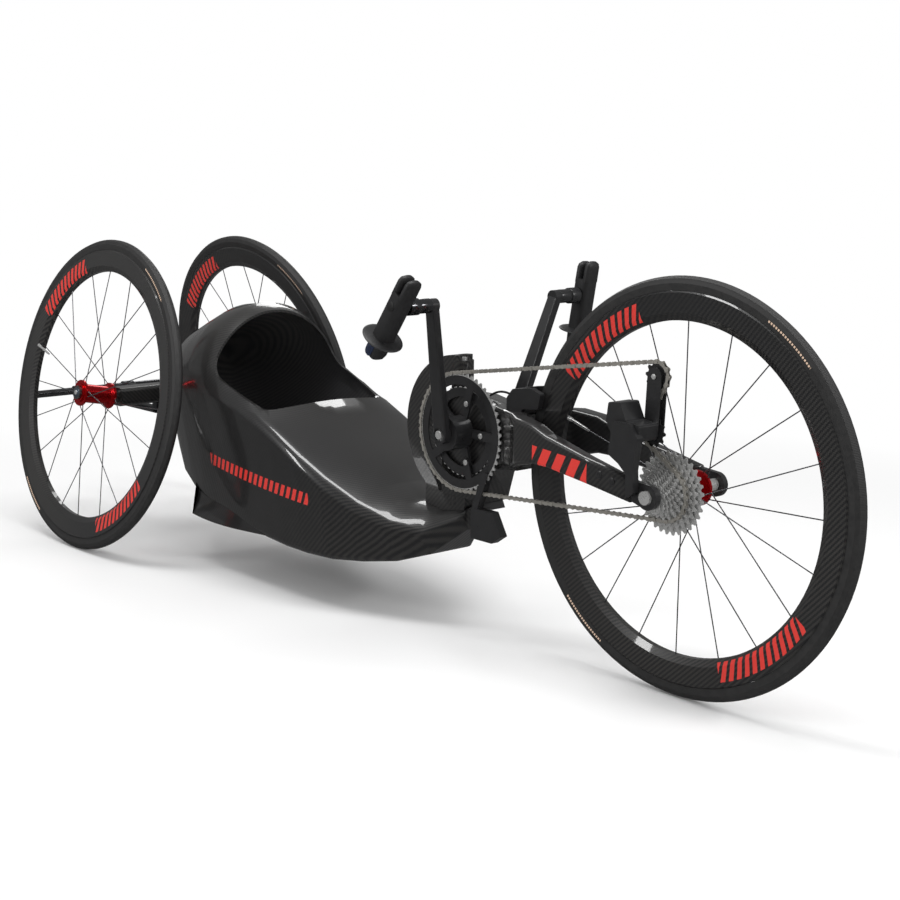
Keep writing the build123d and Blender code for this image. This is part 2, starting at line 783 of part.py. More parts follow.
# Front derailleur, hung under the yoke with its cage round the chain
mech_half = cage_half + plate_thickness
mech_top = yoke_low_z - seat_gap
with BuildPart() as front_mech:
    cage_x = crank_x + 2 * bearing_radius
    for y in (chain_y - cage_half, chain_y + mech_half):
        with BuildSketch(side_at(cage_x, y, mech_top)):
            with BuildLine():
                Polyline((0, -cage_width), (cage_width, -cage_width),
                         (cage_rise * cage_lean_share, cage_rise),
                         (cage_rise * cage_lean_share - cage_width, cage_rise), close=True)
            make_face()
        extrude(amount=plate_thickness)
    with BuildSketch(side_at(cage_x, chain_y + mech_half, mech_top)):
        with BuildLine():
            Polyline((0, -cage_width / 2), (0, -mech_height), (mech_length * cage_lean_share, -mech_height),
                     (mech_length, -mech_height * mech_nose_share),
                     (mech_length * cage_lean_share, -cage_width / 2), close=True)
        make_face()
    extrude(amount=2 * mech_half)
    with BuildSketch(side_at(cage_x, yoke_half - mech_half, mech_top)):
        with BuildLine():
            Polyline((-cage_width, 0), (-cage_width, -cage_width), (cage_width, -cage_width),
                     (cage_width / 2, 0), close=True)
        make_face()
    extrude(amount=yoke_half - mech_half - chain_y - mech_half)
save(front_mech.part, "front_derailleur")

# Rear derailleur on the right dropout, above the cassette. Each outline is a run of
# points ahead of and above the front axle, as shares of the derailleur's size.
bracket_shares = [(-0.31, -0.06), (-0.15, 0.06), (-0.18, 0.40), (-0.10, 0.92), (-0.28, 1.14),
                  (-0.62, 1.12), (-0.70, 0.60), (-0.48, 0.48), (-0.32, 0.34)]
motor_shares = [(-0.66, 0.84), (-0.16, 0.84), (-0.12, 1.10), (-0.40, 1.14), (-0.54, 1.42),
                (-0.78, 1.40), (-0.82, 1.10)]
mech_face = dropout_half + dropout_thickness + seat_gap
with BuildPart() as rear_mech:
    with BuildSketch(side_at(front_x, -mech_face, wheel_radius)):
        with BuildLine():
            FilletPolyline(*[(x * mech_size, z * mech_size) for x, z in bracket_shares], radius=mech_corner, close=True)
        make_face()
    extrude(amount=mech_outer)
    with BuildSketch(side_at(front_x, chain_y - mech_half - seat_gap, wheel_radius)):
        with BuildLine():
            FilletPolyline(*[(x * mech_size, z * mech_size) for x, z in motor_shares], radius=mech_corner, close=True)
        make_face()
    extrude(amount=mech_face + chain_y - mech_half - seat_gap + mech_outer / 2)
save(rear_mech.part, "rear_derailleur")

with BuildPart() as cage:
    for y in (chain_y - cage_half, chain_y + mech_half):
        with BuildSketch(Plane.XZ.offset(-y)):
            SlotCenterPoint(((guide_x + tension_x) / 2, (guide_z + tension_z) / 2), (tension_x, tension_z),
                            2 * cage_width)
        extrude(amount=plate_thickness)
    for x, z in ((guide_x, guide_z), (tension_x, tension_z)):
        with BuildSketch(side_at(x, chain_y + ring_thickness / 2, z)):
            Circle(jockey_radius - tooth_drop)
        extrude(amount=ring_thickness)
        with BuildSketch(side_at(x, chain_y + cage_half, z)):
            Circle(axle_radius / 2)
        extrude(amount=2 * cage_half)
save(cage.part, "derailleur_cage")

# Brake caliper astride the wheel on the yoke's top. Its outline runs from the yoke's front
# corner, as shares of the caliper's size.
caliper_shares = [(-0.28, -0.148), (-0.03, -0.19), (0.12, -0.06), (0.48, -0.02), (0.54, 0.24),
                  (0.30, 0.32), (-0.14, 0.26), (-0.28, 0.10)]
with BuildPart() as caliper:
    with BuildSketch(side_at(yoke_front, caliper_half, yoke_top_z)):
        with BuildLine():
            FilletPolyline(*[(x * caliper_size, z * caliper_size) for x, z in caliper_shares],
                           radius=caliper_corner, close=True)
        make_face()
    extrude(amount=2 * caliper_half)
    with BuildSketch(side_at(yoke_front, caliper_slot, yoke_top_z)):
        Rectangle(4 * caliper_half, 4 * caliper_half, align=(Align.MIN, Align.CENTER))
    extrude(amount=2 * caliper_slot, mode=Mode.SUBTRACT)
    add(fork.part, mode=Mode.SUBTRACT)
save(caliper.part, "brake_caliper")

# Brake hose from the caliper to the yoke's top, as points on the middle plane
hose_points = [(-29.2, 3), (-54, 12), (-79, 12), (-101, 1.5)]
with BuildPart() as hose:
    with BuildLine(side_at(yoke_front, 0, yoke_top_z)):
        route = FilletPolyline(*hose_points, radius=hose_bend)
    with BuildSketch(Plane(origin=route @ 0, z_dir=route % 0)):
        Circle(hose_radius)
    sweep()
save(hose.part, "brake_hose")
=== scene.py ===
# %% [markdown]
# A racing kneeling handcycle in black carbon.
# The solids of the frame already hold the wheels, tub, neck, fork and drive at their real size.
# This script adds what only shows from close by, such as chain links, teeth, treads and bolts,
# and gives every surface its finish.

# %% Load the frame
import json
from math import asin, atan2, cos, hypot, pi, radians, sin

import bmesh
import bpy
from mathutils import Matrix, Vector


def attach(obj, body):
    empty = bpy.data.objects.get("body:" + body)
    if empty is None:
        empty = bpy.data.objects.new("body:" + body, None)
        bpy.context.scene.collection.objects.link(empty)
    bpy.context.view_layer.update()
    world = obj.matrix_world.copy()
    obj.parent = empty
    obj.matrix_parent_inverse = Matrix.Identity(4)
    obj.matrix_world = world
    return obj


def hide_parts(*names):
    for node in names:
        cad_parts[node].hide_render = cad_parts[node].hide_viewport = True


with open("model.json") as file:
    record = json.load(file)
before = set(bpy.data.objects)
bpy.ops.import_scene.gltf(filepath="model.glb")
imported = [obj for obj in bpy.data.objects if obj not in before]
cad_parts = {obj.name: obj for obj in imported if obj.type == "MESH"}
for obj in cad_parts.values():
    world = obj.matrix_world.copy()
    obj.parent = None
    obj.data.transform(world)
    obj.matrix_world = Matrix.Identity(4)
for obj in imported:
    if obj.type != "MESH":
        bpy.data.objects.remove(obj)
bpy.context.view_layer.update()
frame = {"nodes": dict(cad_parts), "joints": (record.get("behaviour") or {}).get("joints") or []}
nodes = frame["nodes"]
joints = {joint["name"]: joint for joint in frame["joints"]}

MM = 0.001


# %% [markdown]
# The camera stands where the photo was taken from: in front, to the right, a little above.
# Its three axes were fitted to the three wheels, so it is set by a matrix and not by angles.

# %% Camera
CAMERA_PLACE = Vector((2.3221, -1.8755, 0.852))
CAMERA_RIGHT = Vector((0.66004312, 0.7511509, 0.01074298))
CAMERA_UP = Vector((-0.14587712, 0.11412899, 0.98269753))
LENS_MM = 63.07
SENSOR_MM = 36.0

camera_data = bpy.data.cameras.new("camera")
camera_data.lens = LENS_MM
camera_data.sensor_width = SENSOR_MM
camera = bpy.data.objects.new("camera", camera_data)
bpy.context.scene.collection.objects.link(camera)
turn = Matrix((CAMERA_RIGHT, CAMERA_UP, CAMERA_RIGHT.cross(CAMERA_UP))).transposed()
camera.matrix_world = Matrix.Translation(CAMERA_PLACE) @ turn.to_4x4()
bpy.context.scene.camera = camera
bpy.context.scene.view_settings.view_transform = "Standard"

# %% [markdown]
# Black gloss is lit by what it mirrors. A pale world, one wide soft lamp overhead and a strip
# lamp at the side draw the long highlights along the tub and the rims.

# %% Light and floor
WORLD_LIGHT = 0.62
WORLD_MIRRORED = 0.17
FLOOR_MIRRORED = 0.10
FLOOR_TONE = 0.90
FLOOR_FADE = 2.2


def make_world():
    world = bpy.data.worlds.new("studio")
    bpy.context.scene.world = world
    world.use_nodes = True
    tree = world.node_tree
    path = tree.nodes.new("ShaderNodeLightPath")
    lit = tree.nodes["Background"]
    lit.inputs["Color"].default_value = (1, 1, 1, 1)
    lit.inputs["Strength"].default_value = WORLD_LIGHT
    mirrored = tree.nodes.new("ShaderNodeBackground")
    mirrored.inputs["Color"].default_value = (1, 1, 1, 1)
    mirrored.inputs["Strength"].default_value = WORLD_MIRRORED
    dim = tree.nodes.new("ShaderNodeMixShader")
    tree.links.new(path.outputs["Is Glossy Ray"], dim.inputs["Fac"])
    tree.links.new(lit.outputs[0], dim.inputs[1])
    tree.links.new(mirrored.outputs[0], dim.inputs[2])
    seen = tree.nodes.new("ShaderNodeBackground")
    seen.inputs["Color"].default_value = (1, 1, 1, 1)
    seen.inputs["Strength"].default_value = 1.0
    mix = tree.nodes.new("ShaderNodeMixShader")
    tree.links.new(path.outputs["Is Camera Ray"], mix.inputs["Fac"])
    tree.links.new(dim.outputs[0], mix.inputs[1])
    tree.links.new(seen.outputs[0], mix.inputs[2])
    tree.links.new(mix.outputs[0], tree.nodes["World Output"].inputs["Surface"])


def area_lamp(name, place, aim, size, power):
    data = bpy.data.lights.new(name, "AREA")
    data.shape = "RECTANGLE"
    data.size, data.size_y = size
    data.energy = power
    lamp = bpy.data.objects.new(name, data)
    lamp.location = place
    lamp.rotation_euler = (Vector(aim) - Vector(place)).to_track_quat("-Z", "Y").to_euler()
    bpy.context.scene.collection.objects.link(lamp)


make_world()
area_lamp("overhead", place=(0.2, -0.3, 3.0), aim=(0, 0, 0), size=(2.8, 0.7), power=55)
area_lamp("side_strip", place=(-1.2, -3.2, 1.9), aim=(-0.2, 0, 0.3), size=(0.35, 1.6), power=22)
area_lamp("nose_strip", place=(2.9, 0.9, 1.7), aim=(0.1, 0, 0.3), size=(1.4, 0.35), power=20)
area_lamp("back_strip", place=(-2.8, 2.0, 1.9), aim=(0, 0, 0.3), size=(0.8, 1.8), power=16)


def make_floor():
    mesh = bpy.data.meshes.new("floor")
    shape = bmesh.new()
    bmesh.ops.create_circle(shape, cap_ends=True, segments=96, radius=30)
    shape.to_mesh(mesh)
    shape.free()
    floor = bpy.data.objects.new("floor", mesh)
    bpy.context.scene.collection.objects.link(floor)
    material = bpy.data.materials.new("pale_floor")
    material.use_nodes = True
    tree = material.node_tree
    bsdf = tree.nodes["Principled BSDF"]
    bsdf.inputs["Base Color"].default_value = (FLOOR_TONE, FLOOR_TONE, FLOOR_TONE, 1)
    bsdf.inputs["Roughness"].default_value = 0.6
    bsdf.inputs["Specular IOR Level"].default_value = 0.2
    glow = tree.nodes.new("ShaderNodeEmission")
    place = tree.nodes.new("ShaderNodeTexCoord")
    far = tree.nodes.new("ShaderNodeVectorMath")
    far.operation = "LENGTH"
    tree.links.new(place.outputs["Object"], far.inputs[0])
    fade = tree.nodes.new("ShaderNodeMapRange")
    fade.inputs["From Min"].default_value = FLOOR_FADE / 2
    fade.inputs["From Max"].default_value = FLOOR_FADE
    tree.links.new(far.outputs["Value"], fade.inputs["Value"])
    mix = tree.nodes.new("ShaderNodeMixShader")
    tree.links.new(fade.outputs[0], mix.inputs["Fac"])
    tree.links.new(bsdf.outputs[0], mix.inputs[1])
    tree.links.new(glow.outputs[0], mix.inputs[2])
    path = tree.nodes.new("ShaderNodeLightPath")
    mirrored = tree.nodes.new("ShaderNodeEmission")
    mirrored.inputs["Strength"].default_value = FLOOR_MIRRORED
    shown = tree.nodes.new("ShaderNodeMixShader")
    tree.links.new(path.outputs["Is Glossy Ray"], shown.inputs["Fac"])
    tree.links.new(mix.outputs[0], shown.inputs[1])
    tree.links.new(mirrored.outputs[0], shown.inputs[2])
    tree.links.new(shown.outputs[0], tree.nodes["Material Output"].inputs["Surface"])
    mesh.materials.append(material)


make_floor()

# %% [markdown]
# Every finish is a Principled shader fed by a few nodes. The small builder below keeps the
# node trees readable: each call adds one node and returns its output.


# %% Node builder
class Finish:
    """A new material whose nodes are added one call at a time."""

    def __init__(self, name, colour, roughness, metallic=0.0, coat=0.0):
        self.material = bpy.data.materials.new(name)
        self.material.use_nodes = True
        self.tree = self.material.node_tree
        self.shader = self.tree.nodes["Principled BSDF"]
        self.set("Base Color", (*colour, 1))
        self.set("Roughness", roughness)
        self.set("Metallic", metallic)
        self.set("Coat Weight", coat)
        self.set("Coat Roughness", 0.04)

    def set(self, socket, value):
        self.shader.inputs[socket].default_value = value

    def plug(self, node, socket, value):
        if isinstance(value, bpy.types.NodeSocket):
            self.tree.links.new(value, node.inputs[socket])
        else:
            node.inputs[socket].default_value = value

    def math(self, operation, first, second=0.0):
        node = self.tree.nodes.new("ShaderNodeMath")
        node.operation = operation
        self.plug(node, 0, first)
        self.plug(node, 1, second)
        return node.outputs[0]

    def place(self, centre=(0, 0, 0), camber=0.0):
        """Object coordinates about a centre, turned back by a camber about X, as three numbers."""
        where = self.tree.nodes.new("ShaderNodeTexCoord")
        shift = self.tree.nodes.new("ShaderNodeVectorMath")
        shift.operation = "SUBTRACT"
        self.plug(shift, 0, where.outputs["Object"])
        shift.inputs[1].default_value = centre
        turned = self.tree.nodes.new("ShaderNodeVectorRotate")
        turned.rotation_type = "X_AXIS"
        self.plug(turned, "Vector", shift.outputs[0])
        turned.inputs["Angle"].default_value = camber
        split = self.tree.nodes.new("ShaderNodeSeparateXYZ")
        self.plug(split, 0, turned.outputs[0])
        return split.outputs[0], split.outputs[1], split.outputs[2]

    def noise(self, scale, detail=3.0):
        where = self.tree.nodes.new("ShaderNodeTexCoord")
        node = self.tree.nodes.new("ShaderNodeTexNoise")
        self.plug(node, "Vector", where.outputs["Object"])
        node.inputs["Scale"].default_value = scale
        node.inputs["Detail"].default_value = detail
        return node.outputs["Fac"]

    def blend(self, share, first, second):
        node = self.tree.nodes.new("ShaderNodeMix")
        node.data_type = "RGBA"
        self.plug(node, "Factor", share)
        for slot, colour in (("A", first), ("B", second)):
            socket = [s for s in node.inputs if s.name == slot and s.type == "RGBA"][0]
            if isinstance(colour, bpy.types.NodeSocket):
                self.tree.links.new(colour, socket)
            else:
                socket.default_value = (*colour, 1)
        return [s for s in node.outputs if s.type == "RGBA"][0]

    def between(self, value, low, high):
        above = self.math("GREATER_THAN", value, low)
        return self.math("MULTIPLY", above, self.math("LESS_THAN", value, high))

    def range(self, value, low, high):
        node = self.tree.nodes.new("ShaderNodeMapRange")
        self.plug(node, "Value", value)
        node.inputs["To Min"].default_value = low
        node.inputs["To Max"].default_value = high
        return node.outputs[0]

    def bump(self, height, strength, distance):
        node = self.tree.nodes.new("ShaderNodeBump")
        node.inputs["Strength"].default_value = strength
        node.inputs["Distance"].default_value = distance
        self.plug(node, "Height", height)
        self.tree.links.new(node.outputs[0], self.shader.inputs["Normal"])

    def colour(self, socket):
        self.tree.links.new(socket, self.shader.inputs["Base Color"])

    def roughness(self, socket):
        self.tree.links.new(socket, self.shader.inputs["Roughness"])


# %% [markdown]
# Carbon cloth is a two-by-two twill: each tow goes over two and under two, one step further
# in each row, which draws the fine diagonal lines. The side faces show X and Z, the deck shows
# X and Y, so the second direction is the sum of Y and Z and one pattern serves both.

# %% Carbon
# The lighter tow colour is painted sheen, standing in for the glint of tows that lie one way; the twill
# layout itself is the cloth's own.
TOW = 2.4 * MM
CARBON_DARK = (0.010, 0.010, 0.011)
CARBON_TOW_SHEEN = (0.050, 0.047, 0.042)


def twill(finish, share=1.0):
    x, y, z = finish.place()
    across = finish.math("FLOOR", finish.math("DIVIDE", x, TOW))
    along = finish.math("FLOOR", finish.math("DIVIDE", finish.math("ADD", y, z), TOW))
    step = finish.math("FLOORED_MODULO", finish.math("SUBTRACT", across, along), 4.0)
    over = finish.math("LESS_THAN", step, 2.0)
    return finish.math("MULTIPLY", over, share)


# A factor above one raises both carbon colours as painted light.
def carbon(name, gloss=1.0, roughness=0.3, painted_light_lift=1.0):
    dark = tuple(c * painted_light_lift for c in CARBON_DARK)
    tow_sheen = tuple(c * painted_light_lift for c in CARBON_TOW_SHEEN)
    finish = Finish(name, dark, roughness, coat=gloss)
    over = twill(finish)
    # Painted sheen: the over tows are lightened in noise patches, where glints would fall; the darker colour
    # and the twill are the cloth's own.
    sheen_patch = finish.range(finish.noise(2.2, 1.0), -0.35, 1.15)
    shown = finish.math("MULTIPLY", over, finish.math("MAXIMUM", sheen_patch, 0.12))
    finish.colour(finish.blend(shown, dark, tow_sheen))
    finish.roughness(finish.range(over, roughness, roughness + 0.14))
    return finish


# Slanted red bars run along the tub's sides and the fork's blades.
RED = (0.72, 0.03, 0.02)
BAR_SHARE = 0.58


def base_colour(finish):
    """The socket that feeds the finish's colour so far."""
    target = finish.shader.inputs["Base Color"]
    return [link.from_socket for link in finish.tree.links if link.to_socket == target][0]


def side_bars(name, start, end, rise, half, out, pitch, slant):
    """Carbon with a leaning row of bars on both sides, between two stations."""
    finish = carbon(name)
    x, y, z = finish.place()
    middle = finish.math("ADD", finish.math("MULTIPLY", x, rise[1]), rise[0])
    near = finish.math("LESS_THAN", finish.math("ABSOLUTE", finish.math("SUBTRACT", z, middle)), half)
    along = finish.between(x, start, end)
    side = finish.math("GREATER_THAN", finish.math("ABSOLUTE", y), out)
    run = finish.math("ADD", x, finish.math("MULTIPLY", z, slant))
    bar = finish.math("LESS_THAN", finish.math("FLOORED_MODULO", run, pitch), pitch * BAR_SHARE)
    inside = finish.math("MULTIPLY", near, along)
    shown = finish.math("MULTIPLY", inside, finish.math("MULTIPLY", side, bar))
    weave = base_colour(finish)
    finish.colour(finish.blend(shown, weave, RED))
    return finish.material


gloss_carbon = carbon("gloss_carbon").material
tub_carbon = side_bars(
    "tub_carbon", start=-0.385, end=-0.03, rise=(0.206, -0.067), half=12 * MM, out=0.085,
    pitch=19 * MM, slant=-0.45)
blade_carbon = side_bars(
    "blade_carbon", start=0.505, end=0.628, rise=(0.412, -0.094), half=19 * MM, out=0.086,
    pitch=34 * MM, slant=-0.5)
# The hollow's carbon colours are raised four times: painted light, standing in for the light that hardly
# reaches inside the tub.
satin_carbon = carbon("satin_carbon", gloss=0.15, roughness=0.45, painted_light_lift=4.0).material

# %% [markdown]
# The rims are the same carbon with groups of red slanted bars, and the tyres have a fine row
# of dashes on the sidewall. Both are drawn in the wheel's own polar coordinates.

# %% Wheel finishes
RIM_LOW, RIM_HIGH = 272 * MM, 303 * MM
BAR_PITCH, BAR_SLANT = 17 * MM, 0.45
BAR_ARC, BAR_LEAN = cos(radians(19)), radians(128)
DASH_RADIUS, DASH_PITCH, DASH_LENGTH = 322 * MM, 5.2 * MM, 3.1 * MM
DASH_LOW, DASH_HIGH = 320 * MM, 323.5 * MM
DASH_ARC, DASH_LEAN = cos(radians(9)), radians(52)
TREAD_RIBS, TREAD_LOW, TREAD_DEPTH = 900, 330 * MM, 0.3 * MM
FLANGE_RADIUS = 30 * MM


def wheel_polar(finish, centre, camber):
    x, y, z = finish.place(centre, camber)
    squares = finish.math("ADD", finish.math("MULTIPLY", x, x), finish.math("MULTIPLY", z, z))
    radius = finish.math("SQRT", squares)
    angle = finish.math("ARCTAN2", z, x)
    return x, z, radius, angle


def opposite_arcs(finish, x, z, radius, lean, limit):
    """One inside two opposite arcs about the given direction."""
    forward = finish.math("MULTIPLY", x, cos(lean))
    ahead = finish.math("ADD", forward, finish.math("MULTIPLY", z, sin(lean)))
    share = finish.math("ABSOLUTE", finish.math("DIVIDE", ahead, radius))
    return finish.math("GREATER_THAN", share, limit)


def rim_finish(name, centre, camber):
    finish = carbon(name)
    x, z, radius, angle = wheel_polar(finish, centre, camber)
    around = finish.math("MULTIPLY", angle, RIM_HIGH)
    run = finish.math("ADD", around, finish.math("MULTIPLY", radius, BAR_SLANT))
    bar = finish.math("LESS_THAN", finish.math("FLOORED_MODULO", run, BAR_PITCH), BAR_PITCH * BAR_SHARE)
    inside = finish.between(radius, RIM_LOW, RIM_HIGH)
    arc = opposite_arcs(finish, x, z, radius, BAR_LEAN, BAR_ARC)
    red = finish.math("MULTIPLY", finish.math("MULTIPLY", bar, inside), arc)
    weave = base_colour(finish)
    finish.colour(finish.blend(red, weave, RED))
    return finish.material


def tyre_finish(name, centre, camber):
    finish = Finish(name, (0.022, 0.022, 0.023), 0.55)
    x, z, radius, angle = wheel_polar(finish, centre, camber)
    wear = finish.noise(120, 4)
    finish.roughness(finish.range(wear, 0.42, 0.7))
    run = finish.math("MULTIPLY", angle, DASH_RADIUS)
    dash = finish.math("LESS_THAN", finish.math("FLOORED_MODULO", run, DASH_PITCH), DASH_LENGTH)
    band = finish.between(radius, DASH_LOW, DASH_HIGH)
    arc = opposite_arcs(finish, x, z, radius, DASH_LEAN, DASH_ARC)
    mark = finish.math("MULTIPLY", finish.math("MULTIPLY", dash, band), arc)
    rubber = finish.blend(wear, (0.014, 0.014, 0.015), (0.034, 0.033, 0.032))
    finish.colour(finish.blend(mark, rubber, (0.72, 0.52, 0.38)))
    ribs = finish.math("SINE", finish.math("MULTIPLY", angle, TREAD_RIBS))
    tread = finish.math("MULTIPLY", ribs, finish.math("GREATER_THAN", radius, TREAD_LOW))
    finish.bump(tread, strength=0.4, distance=TREAD_DEPTH)
    return finish.material


def hub_finish(name, centre, camber):
    """Red anodised hub inside, thin dark spokes outside the flanges."""
    finish = Finish(name, (0.5, 0.01, 0.015), 0.25, metallic=0.85)
    radius = wheel_polar(finish, centre, camber)[2]
    spoke = finish.math("GREATER_THAN", radius, FLANGE_RADIUS)
    finish.colour(finish.blend(spoke, (0.50, 0.008, 0.012), (0.16, 0.16, 0.17)))
    return finish.material


WHEELS = (
    ("front", "front_wheel", "front_wheel_spin"),
    ("rear_right", "rear_wheel_right", "rear_right_spin"),
    ("rear_left", "rear_wheel_left", "rear_left_spin"),
)
for wheel, body, spin in WHEELS:
    hub = Vector(joints[spin]["pos_m"])
    axis = Vector(joints[spin]["axis"])
    camber = -atan2(axis.z, axis.y)
    for part, maker in (("tyre", tyre_finish), ("rim", rim_finish)):
        node = nodes[f"{wheel}_{part}"]
        node.data.materials.clear()
        node.data.materials.append(maker(f"{wheel}_{part}_finish", hub, camber))
    node = nodes[f"{wheel}_hub"]
    node.data.materials.clear()
    node.data.materials.append(hub_finish(f"{wheel}_hub_finish", hub, camber))
    print("wheel", wheel, "camber", round(camber, 4))

# %% [markdown]
# The metals and plastics differ mostly in how rough they are. A little noise in the roughness
# stops them from looking like new plastic.


# %% Metals and plastics
def worn(name, colour, low, high, metallic=0.0, coat=0.0, scale=60):
    finish = Finish(name, colour, (low + high) / 2, metallic, coat)
    speck = finish.noise(scale)
    finish.roughness(finish.range(speck, low, high))
    dim = tuple(c * 0.72 for c in colour)
    finish.colour(finish.blend(speck, dim, colour))
    return finish.material


black_alloy = worn("black_alloy", (0.022, 0.022, 0.023), 0.22, 0.42, coat=0.3)
black_plastic = worn("black_plastic", (0.020, 0.020, 0.021), 0.38, 0.6)
silver = worn("silver", (0.66, 0.66, 0.65), 0.18, 0.38, metallic=0.6)
nickel = worn("nickel", (0.46, 0.44, 0.40), 0.25, 0.45, metallic=0.6)
dark_tube = worn("dark_tube", (0.20, 0.20, 0.21), 0.12, 0.25, metallic=1.0)
steel_blue = worn("steel_blue", (0.30, 0.36, 0.45), 0.16, 0.3, metallic=1.0)
navy_plastic = worn("navy_plastic", (0.012, 0.02, 0.05), 0.15, 0.3, coat=0.6)
hose_black = worn("hose_black", (0.016, 0.016, 0.016), 0.35, 0.5)
finish_of = {
    "tub_shell": gloss_carbon, "neck": gloss_carbon, "axle_beam": gloss_carbon, "fork": gloss_carbon,
    "guard_bar": dark_tube, "brake_hose": hose_black,
    "dropout_right": black_alloy, "dropout_left": black_alloy, "rear_derailleur": black_alloy,
    "derailleur_cage": black_alloy, "brake_caliper": black_alloy, "spider": black_alloy,
    "crank_arm_right": black_alloy, "crank_arm_left": black_alloy, "front_derailleur": black_alloy,
    "chainring_big": black_alloy, "chainring_small": black_alloy,
    "front_axle": silver, "crank_spindle": silver, "steer_pin_upper": silver, "steer_pin_lower": silver,
    "cassette": silver, "chain": nickel, "grip_right": black_plastic, "grip_left": black_plastic,
}
for name, material in finish_of.items():
    nodes[name].data.materials.clear()
    nodes[name].data.materials.append(material)

# %% [markdown]
# The pieces below are new meshes. Each starts from a bmesh operator, is put in place in its
# mesh, and rides on the body that carries it.


# %% Helpers for new pieces
TIP_SHARE = 0.998


def begin():
    return bmesh.new()


def finish_piece(shape, name, body, material, smooth=40, replaces=()):
    bmesh.ops.remove_doubles(shape, verts=shape.verts, dist=0.00001)
    bmesh.ops.recalc_face_normals(shape, faces=shape.faces)
    mesh = bpy.data.meshes.new(name)
    shape.to_mesh(mesh)
    shape.free()
    piece = bpy.data.objects.new(name, mesh)
    bpy.context.scene.collection.objects.link(piece)
    mesh.materials.append(material)
    mesh.shade_smooth()
    mesh.set_sharp_from_angle(angle=radians(smooth))
    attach(piece, body)
    if replaces:
        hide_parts(*replaces)
    print(name, len(mesh.polygons), "faces")
    return piece


def lay_flat(y, thickness, centre):
    """From the XY plane to the side plane at y, facing right, about the given centre."""
    stand = Matrix.Rotation(radians(90), 4, "X")
    return Matrix.Translation((centre[0], y, centre[2])) @ stand


def disc(shape, radius, thickness, matrix, segments=24, bevel=0.0):
    """A short cylinder whose axis is the matrix's Z, with softened edges."""
    made = bmesh.ops.create_cone(
        shape, cap_ends=True, segments=segments, radius1=radius, radius2=radius,
        depth=thickness, matrix=matrix)
    if bevel:
        verts = set(made["verts"])
        rims = [e for e in shape.edges if set(e.verts) <= verts and not e.is_boundary
                and e.calc_face_angle(0) > 1 and len(e.link_faces) == 2
                and max(len(f.verts) for f in e.link_faces) > 4]
        bmesh.ops.bevel(shape, geom=rims, offset=bevel, affect="EDGES", segments=2, profile=0.5, material=-1)
    return made["verts"]


def toothed(shape, teeth, tip, root, inner, thickness, matrix):
    """A toothed ring: two circles joined by a band, every tooth two outer points wide."""
    count = teeth * 4
    rings = []
    for radius in (tip, inner):
        made = bmesh.ops.create_circle(shape, segments=count, radius=radius, cap_ends=False)
        rings.append(made["verts"])
    for i, vert in enumerate(rings[0]):
        if i % 4 in (0, 1):
            vert.co *= root / tip
        else:
            vert.co *= TIP_SHARE
    edges = {e for ring in rings for v in ring for e in v.link_edges}
    band = bmesh.ops.bridge_loops(shape, edges=list(edges))
    pushed = bmesh.ops.extrude_face_region(shape, geom=band["faces"], use_keep_orig=True)
    moved = [g for g in pushed["geom"] if isinstance(g, bmesh.types.BMVert)]
    bmesh.ops.translate(shape, verts=moved, vec=(0, 0, thickness))
    bmesh.ops.transform(shape, verts=rings[0] + rings[1] + moved, matrix=matrix)


# %% [markdown]
# The cassette is a stack of toothed cogs, largest next to the hub. Each is a thin toothed ring
# on the same axis, so one loop over the tooth counts makes them all.

# %% Cassette and chainrings
PITCH = 12.7 * MM
COG_TEETH = (11, 12, 13, 14, 15, 17, 19, 21, 24, 28, 32)
COG_STEP = 4.2 * MM
COG_TIP, COG_ROOT, COG_THICK = 2.2 * MM, 3.6 * MM, 1.7 * MM
COG_BORE, COG_OPEN = 15 * MM, 0.55
RING_ROOT, RING_THICK = 3.4 * MM, 2.2 * MM
CHAIN_Y = -42 * MM
CHAIN_COG = 7
BIG_RING, SMALL_RING = 52, 39
PULLEY_TEETH = 11
CHAIN_COG_TEETH = 21


def pitch_radius(teeth):
    return PITCH / 2 / sin(pi / teeth)


front_hub = Vector(joints["front_wheel_spin"]["pos_m"])
crank_hub = Vector(joints["crank_spin"]["pos_m"])
shape = begin()
for index, teeth in enumerate(COG_TEETH):
    y = CHAIN_Y + (index - CHAIN_COG) * COG_STEP
    radius = pitch_radius(teeth)
    inner = max(COG_BORE, radius * COG_OPEN)
    toothed(shape, teeth, tip=radius + COG_TIP, root=radius - COG_ROOT, inner=inner,
            thickness=COG_THICK, matrix=lay_flat(y + COG_THICK / 2, 0, front_hub))
barrel_place = lay_flat(CHAIN_Y - 8 * MM, 0, front_hub)
disc(shape, radius=16 * MM, thickness=40 * MM, matrix=barrel_place)
lockring_place = lay_flat(CHAIN_Y - 30.5 * MM, 0, front_hub)
disc(shape, radius=13 * MM, thickness=3 * MM, matrix=lockring_place, bevel=0.6 * MM)
finish_piece(shape, "cassette_cogs", "front_wheel", silver, replaces=["cassette"])

shape = begin()
for teeth, tip, rim, inward in ((BIG_RING, 2.4, 8, 1.1), (SMALL_RING, 2.0, 7, 8.1)):
    radius = pitch_radius(teeth)
    toothed(shape, teeth, tip=radius + tip * MM, root=radius - RING_ROOT, inner=radius - rim * MM,
            thickness=RING_THICK, matrix=lay_flat(CHAIN_Y + inward * MM, 0, crank_hub))
finish_piece(shape, "ring_teeth", "crank_set", silver)

# %% [markdown]
# The chain is drawn link by link along the same closed route as its solid: four arcs round
# the ring, both pulleys and the cog, joined by straight runs. The route is a formula, and each
# link is one stretched disc on each side of a roller.

# %% Chain
PLATE = 1.0 * MM
PLATE_END, PLATE_WAIST = 3.9 * MM, 0.5
INNER_HALF, OUTER_HALF = 1.7 * MM, 2.8 * MM
ROLLER_RADIUS, PIN_LENGTH = 2.0 * MM, 6.6 * MM
